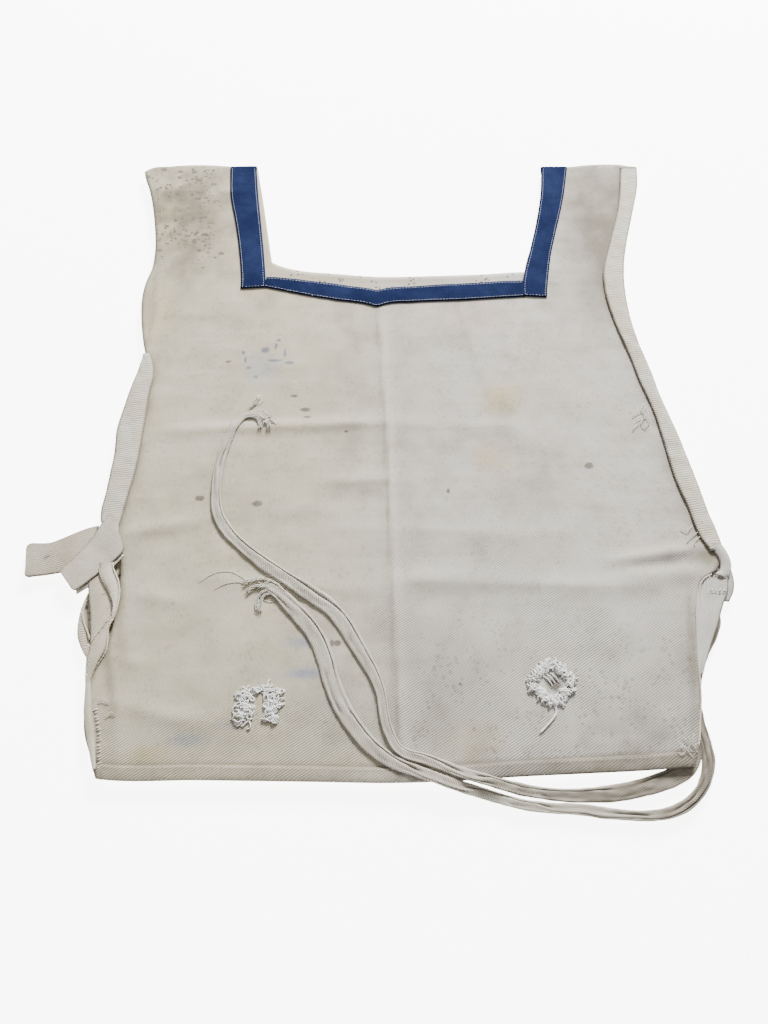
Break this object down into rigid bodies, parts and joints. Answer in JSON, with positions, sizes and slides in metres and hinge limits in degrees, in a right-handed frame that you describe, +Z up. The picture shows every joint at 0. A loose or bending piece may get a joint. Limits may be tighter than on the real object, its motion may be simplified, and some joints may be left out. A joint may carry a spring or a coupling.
{
  "type": "butcher apron",
  "caption": "Over-the-head cotton work apron laid flat, front and back panels joined by shoulder straps, square neck bound in blue band, side ties and darned buttonholes.",
  "frame": {"origin": "the middle of the box round the apron as it lies, without its two loose ties, on the underside of the back panel, which is the surface it lies on", "axes": "+X to the right seen from above with the front uppermost, +Y from the hem to the shoulder fold, +Z up out of the front panel"},
  "size_m": [0.601, 0.6575, 0.005],
  "materials": {
    "cotton_drill": "undyed cotton drill, washed and stained, matt",
    "blue_band": "plain-woven blue cotton with white edge stitching",
    "side_facing": "yellowed ribbed cotton strip",
    "tie_tape": "folded cotton drill tape, creased",
    "darning_thread": "bright white darning thread"
  },
  "bodies": {
    "back": {"back_panel": "cotton_drill", "back_neck_band_cross": "blue_band", "back_neck_band_left": "blue_band", "back_neck_band_right": "blue_band", "back_side_facing_left": "side_facing", "back_side_facing_right": "side_facing"},
    "front": {"front_panel": "cotton_drill", "front_neck_band_cross": "blue_band", "front_neck_band_left": "blue_band", "front_neck_band_right": "blue_band", "front_side_facing_left": "side_facing", "front_side_facing_right": "side_facing", "right_tie_tab": "tie_tape", "right_tie_upper": "tie_tape", "right_tie_lower": "tie_tape", "left_buttonhole_darn": "darning_thread", "right_buttonhole_darn": "darning_thread"},
    "left_front_tie": {"left_front_tie": "tie_tape"},
    "left_back_tie": {"left_back_tie": "tie_tape"}
  },
  "joints": [
    {"name": "shoulder_fold", "type": "hinge", "parent": "back", "child": "front", "pos_m": [0.0155, 0.3153, 0.00165], "axis": [-1, 0, 0], "range_deg": [0, 175]},
    {"name": "left_front_tie_seam", "type": "hinge", "parent": "front", "child": "left_front_tie", "pos_m": [-0.2245, -0.113, 0.0036], "axis": [-0.766, 0.6428, 0], "range_deg": [0, 100]},
    {"name": "left_back_tie_seam", "type": "hinge", "parent": "back", "child": "left_back_tie", "pos_m": [-0.24234, -0.129, 0], "axis": [-0.1045, 0.9945, 0], "range_deg": [-90, 0]}
  ]
}
